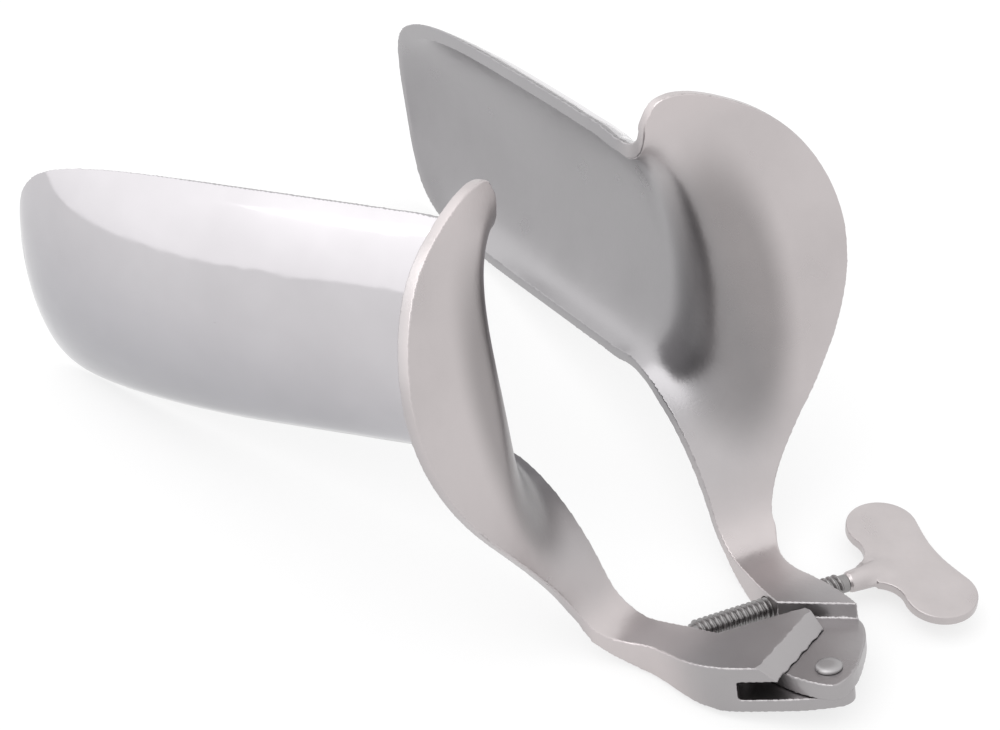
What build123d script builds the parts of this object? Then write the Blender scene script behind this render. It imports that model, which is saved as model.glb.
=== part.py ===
from build123d import *
from math import atan2, cos, degrees, pi, radians, sin
import os

# Two-bladed hinged speculum of polished stainless steel, opened by a thumbscrew.
# Millimetres, +Z up. Both halves are drawn closed in the hinge frame: the pin stands on Z
# through the origin, the blades point along -X and the near half lies on the -Y side.
# At the end they are turned about the pin to their open angle and set down on the table.

# Blade trough, measured inside
blade_reach = 154.2          # pin axis to the inside of the domed tip
blade_axis_height = 50.7     # blade axis above the middle of the hinge block
throat_half_height = 18.4
throat_depth = 7.6
tip_half_height = 21.1
tip_depth = 10.8
dome_length = 50.0
dome_roundness = 1.65        # exponent of the superellipse along the dome
wall = 2.2
rim_gap = 0.3                # left between the two rims when the blades are shut

# Mouth flange and its cove into the trough
flange_distance = 44.6       # pin axis to the flange face, at the height of the blade axis
flange_lean = 10.0           # the flange leans back towards the tip, degrees
cove_top = (10.0, 8.0)       # cove along the blade, cove across the flange, at the top rim
cove_arm = (20.0, 30.0)      # the same where the flange runs down into the arm
flange_half_width = 34.9
flange_top = 81.6
flange_belly_height = 52.0
horn_curl = 2.0              # the flange's top edge curls back towards the hinge

# Arm and hinge head
arm_bend_radius = 8.0
arm_fall = 1.5               # slope of the arm's top face down towards the pin, degrees
arm_knee_height = 4.5        # top face where the bend ends
arm_relief = 1.0             # the hinge head stands back from the middle plane
arm_waist_relief = 1.4       # the same at the foot of the arm
head_top = 4.3
head_bottom = -3.9
slot_height = 3.2
leaf_clearance = 0.1
shoulder_reach = 14.46       # pin axis to the flat shoulder that the other half's cheeks face
shoulder_angle = 51.0        # the shoulder's line, from the blade direction, degrees
lap_clearance = 0.3
slot_radius = 14.7
tongue_radius = 14.4
cheek_end = 8.2              # the upper cheek stops this far ahead of the pin
cheek_bevel = 2.8

# Hinge pin
pin_diameter = 3.2
pin_head_diameter = 4.4
pin_head_height = 0.9
pin_fit = 0.04               # radial running clearance

# Spreading screw and its wing
screw_distance = 21.5        # screw axis ahead of the pin
screw_height = 1.2           # at the middle plane
screw_dip = 2.7              # the screw slopes down towards its wing, degrees
screw_diameter = 4.0
screw_fit = 0.05
tip_contact_gap = 0.3        # screw tip to the near arm
thread_outside = 16.2        # middle plane to the end of the thread
groove_width = 0.8
groove_depth = 0.35
shank_end = 23.0
wing_centre = 28.5           # middle plane to the wing lobes
wing_lobe_offset = 9.3
wing_lobe_radius = 6.1
wing_thickness = 1.9
wing_turn = 166.4            # the wing's turn about the screw, degrees
wing_neck = 2.2
wing_neck_radius = 4.5
wing_waist = 1.3             # hollow of the wing's outer edge between the lobes

# Rest
half_opening = 16.2          # each half is turned this far from shut

flow_lines = 41
overlap = 8.0                # degrees the sheet is drawn past the rim before it is trimmed
flange_reach = 30.0          # sheet beyond the trough, trimmed to the rim outline
arm_reach = 58.0             # the same down the arm, ending inside the hinge block

# Trough and flange sheet. A flow line leaves the dome, follows the trough, turns through the
# cove and runs out over the flange; the flange plate itself is bent at the foot into the arm.
lean = radians(flange_lean)
fall = radians(arm_fall)
bend_turn = pi / 2 - lean - fall
bend_top = arm_knee_height + arm_bend_radius * (cos(fall) - sin(lean))
bend_start = (bend_top - blade_axis_height) / cos(lean)
bend_length = arm_bend_radius * bend_turn


def plate_point(up):
    """X and Z on the proximal face of the bent plate, unrolled from the blade axis upwards."""
    straight = max(up, bend_start)
    turned = lean + min(max(bend_start - up, 0), bend_length) / arm_bend_radius
    beyond = max(bend_start - up - bend_length, 0)
    x = -flange_distance - straight * sin(lean)
    x += arm_bend_radius * (cos(lean) - cos(turned)) + beyond * sin(turned)
    x += horn_curl * (max(up - 22, 0) / 9) ** 2
    z = blade_axis_height + straight * cos(lean)
    z -= arm_bend_radius * (sin(turned) - sin(lean)) + beyond * cos(turned)
    return x, z


def trough_point(x, angle, sink=0.0):
    """A point of the trough's inside, sunk through the rim plane near the tip."""
    share = min(max((-flange_distance - x) / (blade_reach - flange_distance), 0), 1)
    half_height = throat_half_height + share * (tip_half_height - throat_half_height)
    depth = throat_depth + share * (tip_depth - throat_depth)
    return x, depth * (cos(angle) - sink), blade_axis_height + half_height * sin(angle)


def flow_line(angle):
    """Points from just below the tip to the end of the sheet, at one angle round the trough."""
    line = []
    for step in range(-2, 13):
        turn = pi / 2 * max(step, 0) / 12
        sink = 1 - sin(turn) ** (2 / dome_roundness) - 0.12 * min(step, 0)
        x = -blade_reach + dome_length * (1 - cos(turn) ** (2 / dome_roundness))
        line.append(trough_point(x, angle, sink))

    foot = ((1 - sin(angle)) / 2) ** 4
    cove_back = cove_top[0] + foot * (cove_arm[0] - cove_top[0])
    cove_across = cove_top[1] + foot * (cove_arm[1] - cove_top[1])
    outward = Vector(cos(angle) / throat_depth, sin(angle) / throat_half_height).normalized()
    corner_y = throat_depth * cos(angle)
    corner_up = throat_half_height * sin(angle) / cos(lean)

    dome_end = line[-1][0]
    cove_start = plate_point(corner_up)[0] - cove_back
    for step in range(1, 8):
        line.append(trough_point(dome_end + (cove_start - dome_end) * step / 8, angle))
    for step in range(10):
        turn = pi / 2 * step / 9
        across = cove_across * (1 - cos(turn))
        x, z = plate_point(corner_up + across * outward.Y)
        line.append((x - cove_back * (1 - sin(turn)), corner_y + across * outward.X, z))

    towards_arm = min(max((-radians(60) - angle) / radians(20), 0), 1)
    reach = flange_reach + (arm_reach - flange_reach) * sin(pi / 2 * towards_arm) ** 2
    for step in range(1, 11):
        across = cove_across + (reach - cove_across) * step / 10
        x, z = plate_point(corner_up + across * outward.Y)
        line.append((x, corner_y + across * outward.X, z))
    return line


rim_angle = radians(90 + overlap)
angles = [rim_angle * (1 - 2 * row / (flow_lines - 1)) for row in range(flow_lines)]
sheet_face = Face.make_surface_from_array_of_points(
    [[Vector(*point) for point in flow_line(angle)] for angle in angles],
    tol=0.02,
    smoothing=(1, 1, 1),
    max_deg=5,
)

# One half's forged shell, on the far side: the sheet given its wall, trimmed to the rim
# outline seen along the blade and set back from the middle plane
rim_near = rim_gap / 2
with BuildPart() as shell:
    thicken(sheet_face, amount=-wall)
    with BuildSketch(Plane.YZ) as rim_outline:
        with BuildLine():
            horn = (rim_near, flange_top - 4.6)
            belly = (flange_half_width, flange_belly_height)
            foot = (11.4, 7.8)
            Spline(horn, (5.6, flange_top), (16.4, 78.7), (28.0, 70.2), belly,
                   (29.5, 34.9), (19.7, 22.0), (12.6, 11.0), foot)
            Polyline(foot, (foot[0], -20), (rim_near, -20), horn)
        make_face()
    extrude(amount=2 * blade_reach, both=True, mode=Mode.INTERSECT)

# Plan of the hinge head. The two halves share one nose outline when shut. The shoulder line
# is tangent to a circle about the pin, so the cheeks clear it all the way round.
lap_direction = Vector(cos(radians(shoulder_angle)), sin(radians(shoulder_angle)))
lap_normal = Vector(-lap_direction.Y, lap_direction.X)
beyond = 30.0


def lap_point(reach, height):
    """The point at this Y on the line parallel to the shoulder, this far from the pin."""
    foot_point = lap_normal * reach
    return foot_point + lap_direction * ((height - foot_point.Y) / lap_direction.Y)


def circle_point(radius, degrees_round):
    return Vector(radius * cos(radians(degrees_round)), radius * sin(radians(degrees_round)))


tongue_nose = [(-9.5, 11.2), (-1.3, 7.0), (2.2, 3.8), (4.4, 0.5),
               (4.8, -1.6), (3.2, -3.4), (-3.1, -6.6)]
cheek_nose = [(-1.3, 7.0), (2.2, 3.4), (3.9, -0.6), (1.4, -3.2), (-2.4, -5.5), (-7.0, -7.5)]
arm_edge = [(-37.2, 12.4), (-33.9, 10.4), (-27.5, 8.8), (-20.0, 10.3), (-13.0, 11.2)]
arm_inside = [(-24.0, arm_relief), (-30.0, arm_waist_relief), (-40.0, arm_waist_relief)]
screw_centre = Vector(-screw_distance, 0, screw_height)
screw_line = Vector(0, cos(radians(screw_dip)), -sin(radians(screw_dip)))
screw_up = Vector(1, 0, 0).cross(screw_line)
cheek_reach = shoulder_reach - lap_clearance
half_slot = slot_height / 2
half_tongue = half_slot - leaf_clearance

# Side view of the block that thickens the arm below the bend
bend_x, bend_z = plate_point(bend_start)
bend_x += arm_bend_radius * cos(lean)
bend_z += arm_bend_radius * sin(lean)
mid_sheet = arm_bend_radius + wall / 2


def bend_point(radius, degrees_round):
    return bend_x - radius * cos(radians(degrees_round)), bend_z - radius * sin(radians(degrees_round))


with BuildPart() as arm_block:
    with BuildSketch(Plane.XZ) as block_side:
        with BuildLine():
            back = bend_point(arm_bend_radius + wall - 0.2, 48)
            high = bend_point(mid_sheet, 48)
            low = bend_point(mid_sheet, 88)
            heel = (-14.0, head_bottom)
            Line(back, high)
            ThreePointArc(high, bend_point(mid_sheet, 68), low)
            Polyline(low, (-25.0, head_top), (beyond, head_top),
                     (beyond, head_bottom), heel)
            Spline(heel, (-18.4, -3.1), (-24.0, -1.8), (-29.5, -0.3), (-33.8, 2.3), back)
        make_face()
    extrude(amount=beyond, both=True)

# Far half: full thickness ahead of the shoulder, and a tongue that reaches round the pin
with BuildPart() as far_blade:
    add(shell.part)
    add(arm_block.part)
    with BuildSketch(Plane.XY) as far_plan:
        with BuildLine():
            far_foot = lap_point(shoulder_reach, arm_relief)
            far_corner = lap_point(shoulder_reach, 11.25)
            Spline(*arm_edge, far_corner)
            Polyline(far_corner, far_foot, *arm_inside, (-54.0, 0), (-200, 0), (-200, 60),
                     (arm_edge[0][0], 60), arm_edge[0])
        make_face()
    extrude(amount=150, both=True, mode=Mode.INTERSECT)
    with BuildSketch(Plane.XY.offset(-half_tongue)) as tongue:
        with BuildLine():
            root = lap_point(shoulder_reach + 1, 11.0)
            inner_root = lap_point(shoulder_reach + 1, arm_relief)
            arc_start = (-(tongue_radius ** 2 - arm_relief ** 2) ** 0.5, arm_relief)
            arc_mid = circle_point(tongue_radius, 200)
            arc_end = circle_point(tongue_radius, 218)
            Spline(root, *tongue_nose, arc_end)
            ThreePointArc(arc_end, arc_mid, arc_start)
            Polyline(arc_start, inner_root, root)
        make_face()
    extrude(amount=2 * half_tongue)
    with Locations((0, 0, 0)):
        Hole(radius=pin_diameter / 2 + pin_fit)
    with BuildSketch(Plane(screw_centre, x_dir=(1, 0, 0), z_dir=screw_line)) as screw_hole:
        Circle(screw_diameter / 2 + screw_fit)
    extrude(amount=beyond, mode=Mode.SUBTRACT)

# Near half: a fork whose cheeks hold the tongue; the upper cheek stops short of the pin
with BuildPart() as near_blade:
    mirror(shell.part, about=Plane.XZ)
    add(arm_block.part)
    with BuildSketch(Plane.XY) as near_plan:
        with BuildLine():
            cheek_foot = lap_point(cheek_reach, -arm_relief)
            tangent_point = lap_normal * cheek_reach
            turn_end = circle_point(cheek_reach, 131)
            near_edge = [(x, -y) for x, y in arm_edge[:4]]
            near_inside = [(x, -y) for x, y in arm_inside]
            RadiusArc(tangent_point, turn_end, cheek_reach)
            Spline(turn_end, *cheek_nose, (-13.0, -9.8), *near_edge[::-1])
            Polyline(near_edge[0], (near_edge[0][0], -60), (-200, -60), (-200, 0), (-54.0, 0),
                     *near_inside[::-1], cheek_foot, tangent_point)
        make_face()
    extrude(amount=150, both=True, mode=Mode.INTERSECT)
    with BuildSketch(Plane.XY.offset(-half_slot)) as slot:
        Circle(slot_radius)
        with Locations((-beyond, -arm_relief)):
            Rectangle(2 * beyond, 2 * beyond, align=(Align.MIN, Align.MIN))
    extrude(amount=slot_height, mode=Mode.SUBTRACT)
    with BuildSketch(Plane.XZ) as cheek_cut:
        with BuildLine():
            bevel_foot = cheek_bevel - cheek_end
            Polyline((bevel_foot, half_slot), (-cheek_end, head_top), (-cheek_end, beyond), (beyond, beyond),
                     (beyond, half_slot - 0.1), (bevel_foot, half_slot - 0.1), close=True)
        make_face()
    extrude(amount=beyond, both=True, mode=Mode.SUBTRACT)
    with Locations((0, 0, 0)):
        Hole(radius=pin_diameter / 2)

# Pin: headed on top of the tongue, its foot set flush in the lower cheek
with BuildPart() as hinge_pin:
    with BuildSketch(Plane.XY.offset(head_bottom)) as pin_section:
        Circle(pin_diameter / 2)
    extrude(amount=half_tongue - head_bottom + leaf_clearance / 2)
    with BuildSketch(Plane.XY.offset(half_tongue + leaf_clearance / 2)) as pin_head_section:
        Circle(pin_head_diameter / 2)
    extrude(amount=pin_head_height)
    fillet(hinge_pin.edges().sort_by(Axis.Z)[-1], 0.35)

# Screw: its tip presses on the inner face of the near arm
opening = radians(2 * half_opening)
contact_x = -(screw_distance - screw_diameter / 2)
arm_met = (contact_x - arm_relief * sin(opening)) / cos(opening)
tip_y = arm_met * sin(opening) - arm_relief * cos(opening) + tip_contact_gap
with BuildPart() as spreading_screw:
    with BuildSketch(Plane(screw_centre, x_dir=(1, 0, 0), z_dir=screw_up)) as screw_half:
        with BuildLine():
            radius = screw_diameter / 2
            waist = radius - groove_depth
            Polyline((0, tip_y), (radius - 0.4, tip_y), (radius, tip_y + 0.4), (radius, thread_outside),
                     (waist, thread_outside), (waist, thread_outside + groove_width),
                     (radius, thread_outside + groove_width), (radius, shank_end - 0.5),
                     (radius - 0.5, shank_end), (0, shank_end), (0, tip_y))
        make_face()
    revolve(axis=Axis(screw_centre, screw_line))

# Wing: a flat plate whose slotted neck is welded over the end of the screw
turn = radians(wing_turn)
wing_across = Vector(1, 0, 0) * cos(turn) + screw_up * sin(turn)
wing_plane = Plane(screw_centre, x_dir=screw_line, z_dir=screw_line.cross(wing_across))
neck_y = shank_end - 2.5
round_centre = Vector(0, wing_neck + wing_neck_radius)
lobe_rise = wing_lobe_offset - round_centre.Y
reach = wing_neck_radius + wing_lobe_radius
round_centre.X = wing_centre - (reach ** 2 - lobe_rise ** 2) ** 0.5
lobe_centre = Vector(wing_centre, wing_lobe_offset)
join = lobe_centre + (round_centre - lobe_centre).normalized() * wing_lobe_radius
neck_side = round_centre + Vector((neck_y - round_centre.X),
                                  -(wing_neck_radius ** 2 - (neck_y - round_centre.X) ** 2) ** 0.5)
outer = lobe_centre + Vector(cos(radians(12)), -sin(radians(12))) * wing_lobe_radius
with BuildPart() as wing_handle:
    with BuildSketch(wing_plane) as wing_outline:
        with BuildLine():
            Line((neck_y, 0), (neck_side.X, neck_side.Y))
            RadiusArc((neck_side.X, neck_side.Y), (join.X, join.Y), -wing_neck_radius)
            ThreePointArc((join.X, join.Y), lobe_centre + Vector(-0.1, 0.995) * wing_lobe_radius,
                          (outer.X, outer.Y))
            Spline((outer.X, outer.Y), (wing_centre + wing_lobe_radius - wing_waist, 0),
                   tangents=((-0.2, -1), (0, -1)))
            mirror(about=Plane.XZ)
        make_face()
    extrude(amount=wing_thickness / 2, both=True)
    with BuildSketch(Plane(screw_centre, x_dir=(1, 0, 0), z_dir=screw_line)) as screw_seat:
        Circle(screw_diameter / 2 + pin_fit)
    extrude(amount=shank_end + pin_fit, mode=Mode.SUBTRACT)

# Open the halves about the pin
far_group = [far_blade.part, spreading_screw.part, wing_handle.part]
near_group = [near_blade.part, hinge_pin.part]
for piece in far_group:
    piece.move(Rotation(0, 0, -half_opening))
for piece in near_group:
    piece.move(Rotation(0, 0, half_opening))


def surface_points(piece):
    return piece.tessellate(0.05, 0.2)[0]


# Set the instrument down on the two tips and the heel of the hinge block
blade_points = surface_points(far_blade.part) + surface_points(near_blade.part)
tip_points = [point for point in blade_points if point.X < -blade_reach / 2]
heel_points = [point for point in blade_points if point.X > -blade_reach / 2]
rest_tilt = 0.0
for attempt in range(6):
    table_up = Vector(sin(rest_tilt), 0, cos(rest_tilt))
    tip_point = min(tip_points, key=lambda point: point.dot(table_up))
    heel_point = min(heel_points, key=lambda point: point.dot(table_up))
    rest_tilt = atan2(tip_point.Z - heel_point.Z, heel_point.X - tip_point.X)
all_pieces = far_group + near_group
for piece in all_pieces:
    piece.move(Rotation(0, -degrees(rest_tilt), 0))
points = [point for piece in all_pieces for point in surface_points(piece)]
middle_x = (min(point.X for point in points) + max(point.X for point in points)) / 2
middle_y = (min(point.Y for point in points) + max(point.Y for point in points)) / 2
lowest = min(point.Z for point in points)
for piece in all_pieces:
    piece.move(Location((-middle_x, -middle_y, -lowest)))
print("rest tilt", degrees(rest_tilt), "pin foot", -middle_x, -middle_y, -lowest)

os.makedirs("parts", exist_ok=True)
near_blade.part.label = "near_blade"
export_step(near_blade.part, "parts/near_blade.step")
far_blade.part.label = "far_blade"
export_step(far_blade.part, "parts/far_blade.step")
hinge_pin.part.label = "hinge_pin"
export_step(hinge_pin.part, "parts/hinge_pin.step")
spreading_screw.part.label = "spreading_screw"
export_step(spreading_screw.part, "parts/spreading_screw.step")
wing_handle.part.label = "wing_handle"
export_step(wing_handle.part, "parts/wing_handle.step")
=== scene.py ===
# Two-bladed stainless steel speculum, opened by a thumbscrew and set down on a table.
from math import cos, pi, radians, sin

import bpy
import numpy as np
from mathutils import Matrix, Vector


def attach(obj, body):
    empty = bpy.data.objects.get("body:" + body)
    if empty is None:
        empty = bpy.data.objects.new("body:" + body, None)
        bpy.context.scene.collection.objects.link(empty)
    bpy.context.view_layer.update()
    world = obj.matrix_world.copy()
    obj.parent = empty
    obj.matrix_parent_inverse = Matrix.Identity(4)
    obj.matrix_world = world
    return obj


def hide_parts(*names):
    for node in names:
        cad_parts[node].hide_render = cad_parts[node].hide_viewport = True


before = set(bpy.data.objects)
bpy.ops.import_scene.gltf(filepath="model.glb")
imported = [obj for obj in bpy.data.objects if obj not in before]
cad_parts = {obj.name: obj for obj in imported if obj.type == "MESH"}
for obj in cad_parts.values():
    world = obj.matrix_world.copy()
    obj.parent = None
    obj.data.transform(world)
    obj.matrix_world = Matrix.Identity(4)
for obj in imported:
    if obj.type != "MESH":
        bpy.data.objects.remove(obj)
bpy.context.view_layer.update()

# Near and far half. Each is one forging in stainless steel: trough blade, mouth flange, arm and
# hinge head. The inside and the arms are satin from a soft brush, the outside of the trough is
# buffed to a mirror, and the polishing wheel has rounded every edge.
pin_foot = Vector((0.077934, 0, 0.007808))
rest_tilt = radians(15.28492)
half_opening = radians(16.2)
flange_lean = radians(10)
# Place and size of the painted shade round the cove, in a half's own frame
cove_centre = (-0.045, 0.0115, 0.045)
cove_radii = (0.014, 0.013, 0.032)
outward = Vector((-0.62, 0.78, 0))   # what faces this way is the outside of the trough
mouth = -0.0535              # the mirror finish ends here, ahead of the flange
trough_foot = 0.018          # and does not reach lower than this
grid = 0.00025               # edge length of the mesh that the edges are rounded on
kept_share = 0.26            # of that mesh's faces

# Places where the outline is mended or the rounding changes: (from, to) along one axis
top_rim = (0.054, 0.068)
neck_run = (-0.150, -0.060)
mouth_fade = (-0.0495, -0.057)
horn_rise = (0.068, 0.076)
horn_edge = (0.006, 0)
horn_trim = 0.0016           # the horn is filed this much narrower by the middle plane
head_run = (-0.040, -0.034)
head_softness = 0.25         # the head's edges are rounded this much as strongly as the sheet's


def hinge_frame(side):
    """Turns a half's own shut frame (x towards the pin, y outwards, z along it) into the scene's."""
    lean = Matrix.Rotation(-rest_tilt, 4, "Y")
    turn = Matrix.Rotation(side * half_opening, 4, "Z")
    mirror = Matrix.Diagonal((1, -side, 1, 1))
    return Matrix.Translation(pin_foot) @ lean @ turn @ mirror


def to_linear(code):
    """sRGB hex to the linear colour that a shader socket takes."""
    parts = [int(code[i:i + 2], 16) / 255 for i in (1, 3, 5)]
    return [p / 12.92 if p <= 0.04045 else ((p + 0.055) / 1.055) ** 2.4 for p in parts] + [1]


def add_node(tree, kind, place, links=None, **settings):
    """Adds a node; settings go to its sockets or, failing that, to the node itself."""
    node = tree.nodes.new(kind)
    node.location = place
    for name, value in settings.items():
        socket = node.inputs.get(name.replace("_", " "))
        if socket is None:
            setattr(node, name, value)
        else:
            socket.default_value = value
    for name, source in (links or {}).items():
        tree.links.new(source, node.inputs[name])
    return node


def steel(name, tones, roughness, spread, patch, grain, depth, axis=(0, 0, 1, 0), shade=None):
    """Stainless steel: (place, colour) tones along an axis (a direction and its offset), patches
    left by the wheel, and a grain in the bump. A shade is painted shade: a darker ellipsoid in the
    base colour, given by its centre, turn and radii."""
    material = bpy.data.materials.new(name)
    material.use_nodes = True
    tree = material.node_tree
    shader = tree.nodes["Principled BSDF"]
    shader.inputs["Metallic"].default_value = 1
    place = add_node(tree, "ShaderNodeTexCoord", (-1300, 0)).outputs["Object"]
    along = add_node(tree, "ShaderNodeVectorMath", (-1100, 400), {0: place}, operation="DOT_PRODUCT")
    along.inputs[1].default_value = axis[:3]
    first, last = tones[0][0], tones[-1][0]
    share = add_node(tree, "ShaderNodeMapRange", (-900, 400), {"Value": along.outputs["Value"]},
                     From_Min=first - axis[3], From_Max=last - axis[3])
    tone = add_node(tree, "ShaderNodeValToRGB", (-700, 400), {"Fac": share.outputs["Result"]})
    tone.color_ramp.interpolation = "EASE"
    for count, (spot, code) in enumerate(tones):
        stops = tone.color_ramp.elements
        stop = stops[count] if count < 2 else stops.new(1)
        stop.position = (spot - first) / (last - first)
        stop.color = to_linear(code)
    patches = add_node(tree, "ShaderNodeTexNoise", (-1100, 100), {"Vector": place},
                       Scale=1 / patch, Detail=4, Roughness=0.6).outputs["Fac"]
    worn = add_node(tree, "ShaderNodeMapRange", (-700, 100), {"Value": patches},
                    From_Min=0.3, From_Max=0.65, To_Min=0.94, To_Max=1.03)
    tint = add_node(tree, "ShaderNodeVectorMath", (-300, 300),
                    {0: tone.outputs["Color"], 1: worn.outputs["Result"]}, operation="MULTIPLY")
    # Painted shade: inside the ellipsoid the base colour is darkened down to 0.62 of its tone
    if shade:
        centre, turn, radii = shade
        local = add_node(tree, "ShaderNodeMapping", (-700, 650), {"Vector": place}, vector_type="TEXTURE",
                         Location=centre, Rotation=turn, Scale=radii)
        depth_in = add_node(tree, "ShaderNodeTexGradient", (-500, 650), {"Vector": local.outputs["Vector"]},
                            gradient_type="SPHERICAL")
        dark = add_node(tree, "ShaderNodeMapRange", (-300, 650), {"Value": depth_in.outputs["Fac"]},
                        interpolation_type="SMOOTHSTEP", From_Min=0, From_Max=0.45, To_Min=1, To_Max=0.62)
        tint = add_node(tree, "ShaderNodeVectorMath", (-100, 400),
                        {0: tint.outputs["Vector"], 1: dark.outputs["Result"]}, operation="MULTIPLY")
    tree.links.new(tint.outputs["Vector"], shader.inputs["Base Color"])
    gloss = add_node(tree, "ShaderNodeMapRange", (-700, -150), {"Value": patches},
                     From_Min=0.3, From_Max=0.7, To_Min=roughness - spread, To_Max=roughness + spread)
    tree.links.new(gloss.outputs["Result"], shader.inputs["Roughness"])
    fine = add_node(tree, "ShaderNodeTexNoise", (-1100, -400), {"Vector": place},
                    Scale=1 / grain, Detail=3)
    bump = add_node(tree, "ShaderNodeBump", (-300, -250), {"Height": fine.outputs["Fac"]},
                    Strength=depth, Distance=0.0002)
    tree.links.new(bump.outputs["Normal"], shader.inputs["Normal"])
    return material


def flange_axis(side):
    """Square to a half's mouth flange, pointing at the hinge; 0 at the pin's foot."""
    square = hinge_frame(side).to_3x3() @ Vector((cos(flange_lean), 0, sin(flange_lean)))
    return (*square, -square.dot(pin_foot))


def cove_shade(side):
    """Painted shade: a darker ellipsoid round the cove between the trough and the flange of a half."""
    frame_of_half = hinge_frame(side)
    turned = frame_of_half.to_3x3() @ Matrix.Diagonal((1, -side, 1))
    return frame_of_half @ Vector(cove_centre), turned.to_euler(), cove_radii


# Buffed to a mirror: reflections stay sharp, with a faint orange peel about 4 mm across. It
# gives back the light wall above and the table below; its colour is painted darker towards the ground, a
# painted shade for the dimmer reflection there.
polished_steel = steel("mirror-buffed stainless steel",
                       [(0.012, "#ACABAF"), (0.045, "#C6C3C6"), (0.064, "#D2CFD2")],
                       roughness=0.1, spread=0.02, patch=0.03, grain=0.004, depth=0.02)
# Brushed satin by a soft wheel: reflections blur away; the grain is 0.6 mm, coarser than real.
# The inside of the trough and the cove are painted a darker grey than the flange and the arm: painted shade.
satin_tones = [(-0.060, "#A09EA0"), (-0.045, "#9F9D9F"), (-0.038, "#B2AEAF"), (-0.0335, "#C6BFBF"),
               (-0.026, "#C3BCBC"), (-0.014, "#A4A1A2")]
near_satin, far_satin = [
    steel(name, satin_tones, roughness=0.3, spread=0.04, patch=0.02, grain=0.0006, depth=0.08,
          axis=flange_axis(side), shade=cove_shade(side))
    for name, side in (("satin stainless steel, near", 1), ("satin stainless steel, far", -1))]


def select_only(piece):
    bpy.ops.object.select_all(action="DESELECT")
    bpy.context.view_layer.objects.active = piece
    piece.select_set(True)


def apply_modifier(piece, kind, **settings):
    modifier = piece.modifiers.new(kind.lower(), kind)
    for name, value in settings.items():
        setattr(modifier, name, value)
    select_only(piece)
    bpy.ops.object.modifier_apply(modifier=modifier.name)


def round_edges(piece, width, segments):
    """Bevels every sharp edge."""
    select_only(piece)
    bpy.ops.object.mode_set(mode="EDIT")
    bpy.ops.mesh.select_mode(type="EDGE")
    bpy.ops.mesh.select_all(action="DESELECT")
    bpy.ops.mesh.edges_select_sharp(sharpness=radians(38))
    bpy.ops.mesh.bevel(offset=width, segments=segments, clamp_overlap=True)
    bpy.ops.object.mode_set(mode="OBJECT")


def ramp(value, start, end):
    """0 at start, 1 at end, with a soft run between."""
    share = min(max((value - start) / (end - start), 0), 1)
    return share * share * (3 - 2 * share)


def calm_normals(piece, rounds, mirror_rounds=0):
    """Averages neighbouring vertex normals that are alike, which leaves the edges alone, so that
    reflections run smoothly; the polished faces get more rounds."""
    mesh = piece.data
    ends = np.empty(len(mesh.edges) * 2, dtype=np.int64)
    mesh.edges.foreach_get("vertices", ends)
    ends = ends.reshape(-1, 2)
    normals = np.empty(len(mesh.vertices) * 3)
    mesh.vertices.foreach_get("normal", normals)
    normals = normals.reshape(-1, 3)
    alike = 0.985
    polished = np.zeros(len(normals), dtype=bool)
    for face in mesh.polygons:
        if face.material_index:
            polished[list(face.vertices)] = True
    mirror_ends = ends[polished[ends].all(axis=1)]
    for count in range(rounds + mirror_rounds):
        pairs = ends if count < rounds else mirror_ends
        near = pairs[(normals[pairs[:, 0]] * normals[pairs[:, 1]]).sum(axis=1) > alike]
        total = normals.copy()
        for axis in range(3):
            total[:, axis] += np.bincount(near[:, 0], normals[near[:, 1], axis], len(normals))
            total[:, axis] += np.bincount(near[:, 1], normals[near[:, 0], axis], len(normals))
        normals = total / np.linalg.norm(total, axis=1)[:, None]
    mesh.normals_split_custom_set_from_vertices(normals)


def merged_copy(node, name):
    """A copy of a CAD node's mesh with its doubles merged."""
    piece = bpy.data.objects.new(name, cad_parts[node].data.copy())
    bpy.context.scene.collection.objects.link(piece)
    select_only(piece)
    bpy.ops.object.mode_set(mode="EDIT")
    bpy.ops.mesh.select_all(action="SELECT")
    bpy.ops.mesh.remove_doubles(threshold=0.000002)
    bpy.ops.object.mode_set(mode="OBJECT")
    return piece


def dressed_half(node, name, side, satin, neck_lift):
    """A half with its edges rounded, satin all over but for the trough's mirror outside."""
    half = merged_copy(node, name)
    apply_modifier(half, "REMESH", mode="VOXEL", voxel_size=grid)

    # The trough's top rim rises towards its neck and the horn is filed narrower; then every edge
    # is rounded, the head's less than the sheet's
    back = hinge_frame(side)
    own = back.inverted()
    soft = half.vertex_groups.new(name="soft")
    for vertex in half.data.vertices:
        at = own @ vertex.co
        lift = neck_lift * ramp(at.z, *top_rim) * ramp(at.x, *neck_run) * ramp(at.x, *mouth_fade)
        trim = horn_trim * ramp(at.z, *horn_rise) * ramp(at.y, *horn_edge)
        vertex.co = back @ (at + Vector((0, trim, lift)))
        soft.add([vertex.index], 1 - (1 - head_softness) * ramp(at.x, *head_run), "REPLACE")
    apply_modifier(half, "SMOOTH", factor=0.5, iterations=12, vertex_group="soft")
    apply_modifier(half, "DECIMATE", decimate_type="COLLAPSE", ratio=kept_share)
    apply_modifier(half, "SMOOTH", factor=0.5, iterations=6, vertex_group="soft")
    half.vertex_groups.clear()
    bpy.ops.object.shade_smooth()

    half.data.materials.clear()
    half.data.materials.append(satin)
    half.data.materials.append(polished_steel)
    for face in half.data.polygons:
        where = own @ face.center
        outside = (own.to_3x3() @ face.normal).dot(outward) > 0.1
        if outside and where.x < mouth and where.z > trough_foot:
            face.material_index = 1
    calm_normals(half, rounds=100, mirror_rounds=300)
    return half


near_half = dressed_half("near_blade", "near_half", 1, near_satin, 0.0006)
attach(near_half, "near_half")
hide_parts("near_blade")

far_half = dressed_half("far_blade", "far_half", -1, far_satin, 0.0024)
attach(far_half, "far_half")
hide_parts("far_blade")

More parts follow.
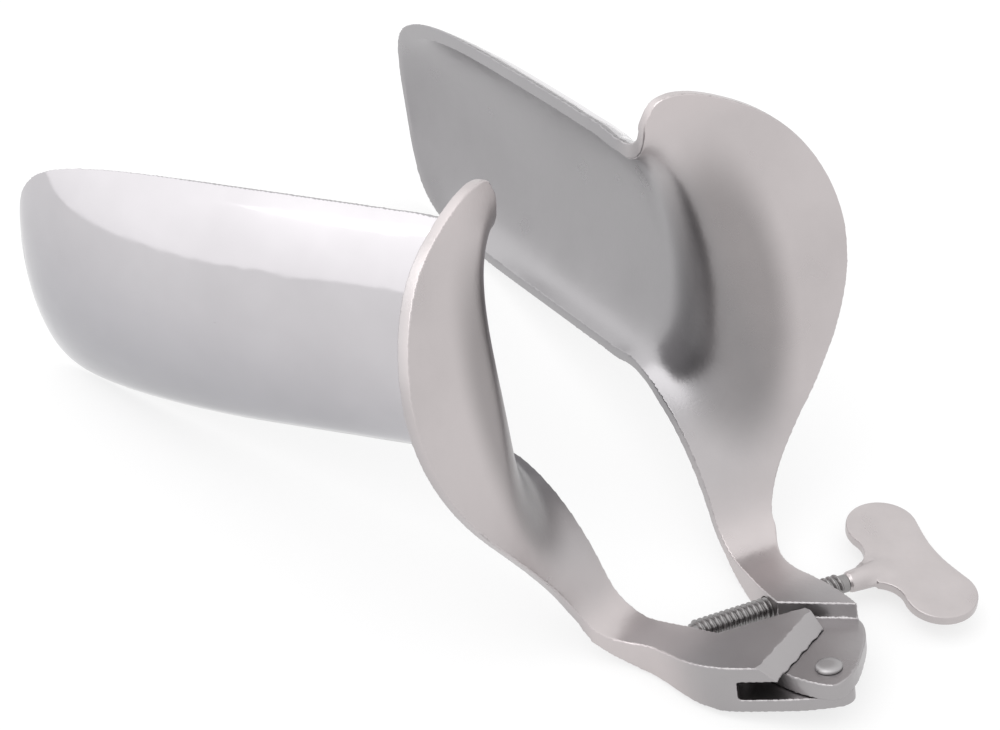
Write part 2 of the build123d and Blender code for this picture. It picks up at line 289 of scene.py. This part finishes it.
# Hinge pin. A turned steel pin with a low domed head on the tongue; its foot is set flush in the
# lower cheek. The head was filed by hand, so it is a little flattened and dull.
pin_radius = 0.0016
pin_bottom = -0.0039
pin_seat = 0.00155
pin_head_radius = 0.0022
pin_head_height = 0.0008
head_steps = ((pin_head_radius / pin_radius, 0), (1.0, 0.45), (0.94, 0.25), (0.8, 0.2), (0.5, 0.08))
bpy.ops.object.select_all(action="DESELECT")
bpy.ops.mesh.primitive_cylinder_add(vertices=64, radius=pin_radius, depth=pin_seat - pin_bottom,
                                    location=(0, 0, (pin_seat + pin_bottom) / 2))
pin = bpy.context.object
pin.name = "hinge_pin_dressed"
bpy.ops.object.transform_apply(location=True)
bpy.ops.object.mode_set(mode="EDIT")
bpy.ops.mesh.select_mode(type="FACE")
bpy.ops.mesh.select_all(action="DESELECT")
bpy.ops.object.mode_set(mode="OBJECT")
for face in pin.data.polygons:
    face.select = face.normal.z > 0.9
bpy.ops.object.mode_set(mode="EDIT")
for wider, higher in head_steps:
    bpy.ops.mesh.extrude_region_move(TRANSFORM_OT_translate={"value": (0, 0, higher * pin_head_height)})
    bpy.ops.transform.resize(value=(wider, wider, 1))
bpy.ops.object.mode_set(mode="OBJECT")
pin.data.transform(hinge_frame(1))
bpy.ops.object.mode_set(mode="EDIT")
bpy.ops.mesh.select_all(action="SELECT")
bpy.ops.mesh.normals_make_consistent(inside=False)
bpy.ops.object.mode_set(mode="OBJECT")
round_edges(pin, width=0.0001, segments=2)
bpy.ops.object.shade_smooth_by_angle(angle=radians(40))

# Filed satin: duller than the halves, so the head shows as a flat grey dot.
filed_steel = steel("filed stainless steel", [(0, "#A6A4A5"), (0.04, "#ACAAAA")],
                    roughness=0.4, spread=0.05, patch=0.003, grain=0.0004, depth=0.15)
pin.data.materials.append(filed_steel)
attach(pin, "near_half")
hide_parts("hinge_pin")

# Spreading screw. A 4 mm rod with a rolled 1 mm thread over most of its length and a chamfered
# tip that presses on the near arm. Its colour is darker than the arms', partly for the grease in the thread's
# roots and partly as painted shade between its turns.
screw_centre = Vector((-0.0215, 0, 0.0012))
screw_dip = radians(2.7)
screw_radius = 0.002
root_radius = 0.00152
thread_pitch = 0.001
screw_tip = -0.01326
thread_end = 0.0152
neck_start = 0.0160
screw_line = Vector((0, cos(screw_dip), -sin(screw_dip)))
across = Vector((1, 0, 0))
screw_frame = hinge_frame(-1) @ Matrix.Translation(screw_centre) @ Matrix(
    (across, screw_line.cross(across), screw_line)).transposed().to_4x4()


def profile_line(name, profile, edges):
    """A line of (radius, place) pairs, to be swept about the Z axis."""
    bpy.ops.object.select_all(action="DESELECT")
    bpy.ops.mesh.primitive_plane_add(size=0.001)
    line = bpy.context.object
    line.name = name
    bpy.ops.object.mode_set(mode="EDIT")
    bpy.ops.mesh.delete(type="VERT")
    bpy.ops.object.mode_set(mode="OBJECT")
    line.data.from_pydata([(radius, 0, place) for radius, place in profile], edges, [])
    return line


# The rod: a line with both ends on the axis, spun once round
chamfer = 0.0004
rod_end = neck_start - 0.00005
rod = [(0, screw_tip), (root_radius - chamfer, screw_tip), (root_radius, screw_tip + chamfer),
       (root_radius, thread_end), (root_radius, neck_start - 0.0003), (root_radius, rod_end), (0, rod_end)]
screw = profile_line("screw_dressed", rod, [(i, i + 1) for i in range(len(rod) - 1)])
apply_modifier(screw, "SCREW", axis="Z", angle=2 * pi, steps=64, render_steps=64,
               use_merge_vertices=True, merge_threshold=0.00001)
bpy.ops.object.mode_set(mode="EDIT")
bpy.ops.mesh.select_all(action="SELECT")
bpy.ops.mesh.remove_doubles(threshold=0.000005)
bpy.ops.mesh.normals_make_consistent(inside=False)
bpy.ops.object.mode_set(mode="OBJECT")

# The thread's ridge: one closed trapezoid wound up the rod, its foot sunk into the root and the
# corners of its crest worn off
foot = 0.44 * thread_pitch
crest = 0.1 * thread_pitch
sunk = root_radius - 0.00006
top = screw_radius - 0.00003
worn_side = 0.00006
worn_top = 0.00004
section = [(sunk, -foot), (top - worn_side, -crest - worn_side), (top, -crest + worn_top),
           (top, crest - worn_top), (top - worn_side, crest + worn_side), (sunk, foot)]
first_turn = screw_tip + thread_pitch * 0.7
ridge = profile_line("thread", [(radius, first_turn + place) for radius, place in section],
                     [(i, (i + 1) % len(section)) for i in range(len(section))])
turns = int((thread_end - screw_tip - 0.9 * thread_pitch) / thread_pitch)
apply_modifier(ridge, "SCREW", axis="Z", angle=2 * pi, steps=36, render_steps=36,
               iterations=turns, screw_offset=thread_pitch, use_merge_vertices=False)
bpy.ops.object.mode_set(mode="EDIT")
bpy.ops.mesh.select_mode(type="EDGE")
bpy.ops.mesh.select_all(action="SELECT")
bpy.ops.mesh.remove_doubles(threshold=0.000002)
bpy.ops.mesh.select_all(action="DESELECT")
bpy.ops.mesh.select_non_manifold(extend=False)
bpy.ops.mesh.edge_face_add()
bpy.ops.mesh.select_all(action="SELECT")
bpy.ops.mesh.normals_make_consistent(inside=False)
bpy.ops.object.mode_set(mode="OBJECT")
select_only(screw)
ridge.select_set(True)
bpy.ops.object.join()
screw.data.transform(screw_frame)
bpy.ops.object.shade_smooth_by_angle(angle=radians(35))

# Rolled thread: a darker tone than the arms all over, partly grease and partly painted shade, and a gloss
# that changes every 2 mm.
thread_steel = steel("rolled thread in stainless steel", [(0, "#8F8D8D"), (0.04, "#959393")],
                     roughness=0.3, spread=0.08, patch=0.002, grain=0.0004, depth=0.25)
screw.data.materials.append(thread_steel)
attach(screw, "screw")
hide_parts("spreading_screw")

# Wing. A plate of two round lobes, pressed from sheet and ground round at the edges. Its neck is
# drawn to a socket over the screw's end and closed on both sides by a short, uneven bead of weld.
wing_turn = radians(166.4)
cad_wing_half = 0.00095      # half the plate's thickness
wing_half = 0.00085          # and what the wheel has left of it
wing_grid = 0.00015
wing = merged_copy("wing_handle", "wing_dressed")
wing.data.transform(screw_frame.inverted())
flat = Matrix.Rotation(wing_turn, 4, "Z")   # lays the plate along X
wing.data.transform(flat)
wing.data.transform(Matrix.Diagonal((1, wing_half / cad_wing_half, 1, 1)))

# Socket and bead, added as plain solids and then melted together with the plate. The socket's
# rings are (place along the screw, half its width, half its height).
rings = [(neck_start, 0.0014, 0.0014), (neck_start + 0.0005, 0.0018, 0.0018), (0.0185, 0.00195, 0.00195),
         (0.0205, 0.0022, 0.0019), (0.0225, 0.0028, 0.0016), (0.0245, 0.0037, 0.0011),
         (0.0262, 0.0048, 0.0005)]
bpy.ops.object.select_all(action="DESELECT")
bpy.ops.mesh.primitive_circle_add(vertices=40, radius=1, fill_type="NGON", location=(0, 0, 0))
neck = bpy.context.object
neck.name = "neck"
first_ring = Matrix.Diagonal((rings[0][1], rings[0][2], 1, 1))
neck.data.transform(Matrix.Translation((0, 0, rings[0][0])) @ first_ring)
bpy.ops.object.mode_set(mode="EDIT")
bpy.ops.mesh.select_all(action="SELECT")
for before, after in zip(rings, rings[1:]):
    bpy.ops.mesh.extrude_region_move(TRANSFORM_OT_translate={"value": (0, 0, after[0] - before[0])})
    bpy.ops.transform.resize(value=(after[1] / before[1], after[2] / before[2], 1))
bpy.ops.mesh.select_all(action="SELECT")
bpy.ops.mesh.normals_make_consistent(inside=False)
bpy.ops.object.mode_set(mode="OBJECT")

# The bead's drops of weld are (place along the screw, distance from its axis, radius); the second
# side has smaller ones, on the plate's middle.
drops = [(0.0196, 0.0017, 0.00075), (0.0204, 0.0020, 0.00085), (0.0212, 0.0022, 0.0007),
         (0.0221, 0.0024, 0.0009), (0.0231, 0.0027, 0.0007), (0.0239, 0.0030, 0.0006)]
lumps = []
for along, aside, radius in drops:
    for side, share, height in ((1, 1, 0.0004), (-1, 0.8, 0)):
        bpy.ops.object.select_all(action="DESELECT")
        bpy.ops.mesh.primitive_uv_sphere_add(segments=20, ring_count=12, radius=radius * share,
                                             location=(side * aside, height, along))
        bpy.ops.object.transform_apply(location=True)
        lumps.append(bpy.context.object)
select_only(wing)
for part in [neck] + lumps:
    part.select_set(True)
bpy.ops.object.join()
apply_modifier(wing, "REMESH", mode="VOXEL", voxel_size=wing_grid)
apply_modifier(wing, "SMOOTH", factor=0.5, iterations=9)
wing.data.transform(screw_frame @ flat.inverted())
bpy.ops.object.shade_smooth()
calm_normals(wing, rounds=40)
wing.data.materials.clear()

# Satin like the arms, painted a little lighter: painted light from the light wall it faces.
wing_steel = steel("satin stainless steel, wing", [(0, "#BDB7B7"), (0.03, "#C2BCBC")],
                   roughness=0.3, spread=0.04, patch=0.008, grain=0.0006, depth=0.08)
wing.data.materials.append(wing_steel)
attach(wing, "wing")
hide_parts("wing_handle")

# Table and light. A white sweep in a light tent, bright all round and brightest on the side that
# the near blade's mirror faces. Part of the table's white is its own glow, so that it and its
# reflections come out white round the shadow.
glow_share = 0.7
brightest_side = (-0.66, -0.73, 0.18)
bpy.ops.object.select_all(action="DESELECT")
bpy.ops.mesh.primitive_plane_add(size=6, location=(0, 0, 0))
table = bpy.context.object
table.name = "table"
table_paint = bpy.data.materials.new("white table")
table_paint.use_nodes = True
tree = table_paint.node_tree
tree.nodes.clear()
ray = add_node(tree, "ShaderNodeLightPath", (-800, 300))
seen = add_node(tree, "ShaderNodeMath", (-600, 300),
                {0: ray.outputs["Is Camera Ray"], 1: ray.outputs["Is Glossy Ray"]}, operation="MAXIMUM")
seen_all = add_node(tree, "ShaderNodeMath", (-400, 300),
                    {0: seen.outputs[0], 1: ray.outputs["Is Transmission Ray"]}, operation="MAXIMUM")
share = add_node(tree, "ShaderNodeMath", (-200, 300), {0: seen_all.outputs[0]}, operation="MULTIPLY")
share.inputs[1].default_value = glow_share
matt = add_node(tree, "ShaderNodeBsdfDiffuse", (-200, 100), Color=to_linear("#F0F0F0"))
glow = add_node(tree, "ShaderNodeEmission", (-200, -50), Color=(1, 1, 1, 1), Strength=1.0)
mix = add_node(tree, "ShaderNodeMixShader", (0, 0),
               {0: share.outputs[0], 1: matt.outputs[0], 2: glow.outputs[0]})
add_node(tree, "ShaderNodeOutputMaterial", (200, 0), {"Surface": mix.outputs[0]})
table.data.materials.append(table_paint)

world = bpy.data.worlds.new("light tent")
bpy.context.scene.world = world
world.use_nodes = True
tree = world.node_tree
sky = tree.nodes["Background"]
direction = add_node(tree, "ShaderNodeTexCoord", (-1100, 0)).outputs["Generated"]
height = add_node(tree, "ShaderNodeSeparateXYZ", (-900, 100), {0: direction}).outputs["Z"]
rise = add_node(tree, "ShaderNodeMapRange", (-650, 100), {"Value": height},
                From_Min=0, From_Max=1, To_Min=1.0, To_Max=1.25)
wall_side = add_node(tree, "ShaderNodeVectorMath", (-900, -150), {0: direction}, operation="DOT_PRODUCT")
wall_side.inputs[1].default_value = brightest_side
wall = add_node(tree, "ShaderNodeMapRange", (-650, -150), {"Value": wall_side.outputs["Value"]},
                interpolation_type="SMOOTHSTEP", From_Min=0.1, From_Max=0.75, To_Min=0, To_Max=0.42)
level = add_node(tree, "ShaderNodeMath", (-400, 0), {0: rise.outputs[0], 1: wall.outputs[0]}, operation="ADD")
tree.links.new(level.outputs[0], sky.inputs["Strength"])
sky.inputs["Color"].default_value = to_linear("#FFFFFF")

soft_box = bpy.data.lights.new("overhead soft box", "AREA")
soft_box.shape = "RECTANGLE"
soft_box.size = 1.2
soft_box.size_y = 0.9
soft_box.energy = 3
overhead = bpy.data.objects.new("overhead soft box", soft_box)
bpy.context.scene.collection.objects.link(overhead)
overhead.location = (-0.3, -0.5, 1.1)
half_way_up = Vector((0, 0, 0.03))
overhead.rotation_euler = (half_way_up - overhead.location).to_track_quat("-Z", "Y").to_euler()

# Camera: a long lens above the hinge end, looking down along the blades.
camera_data = bpy.data.cameras.new("camera")
camera_data.lens = 93.47
camera_data.sensor_width = 36
camera_data.clip_start = 0.01
camera = bpy.data.objects.new("camera", camera_data)
bpy.context.scene.collection.objects.link(camera)
camera.location = (0.25782, -0.23898, 0.29281)
camera.rotation_euler = (radians(52.3796), radians(-2.0348), radians(48.9052))
bpy.context.scene.camera = camera

bpy.context.scene.view_settings.view_transform = "Standard"
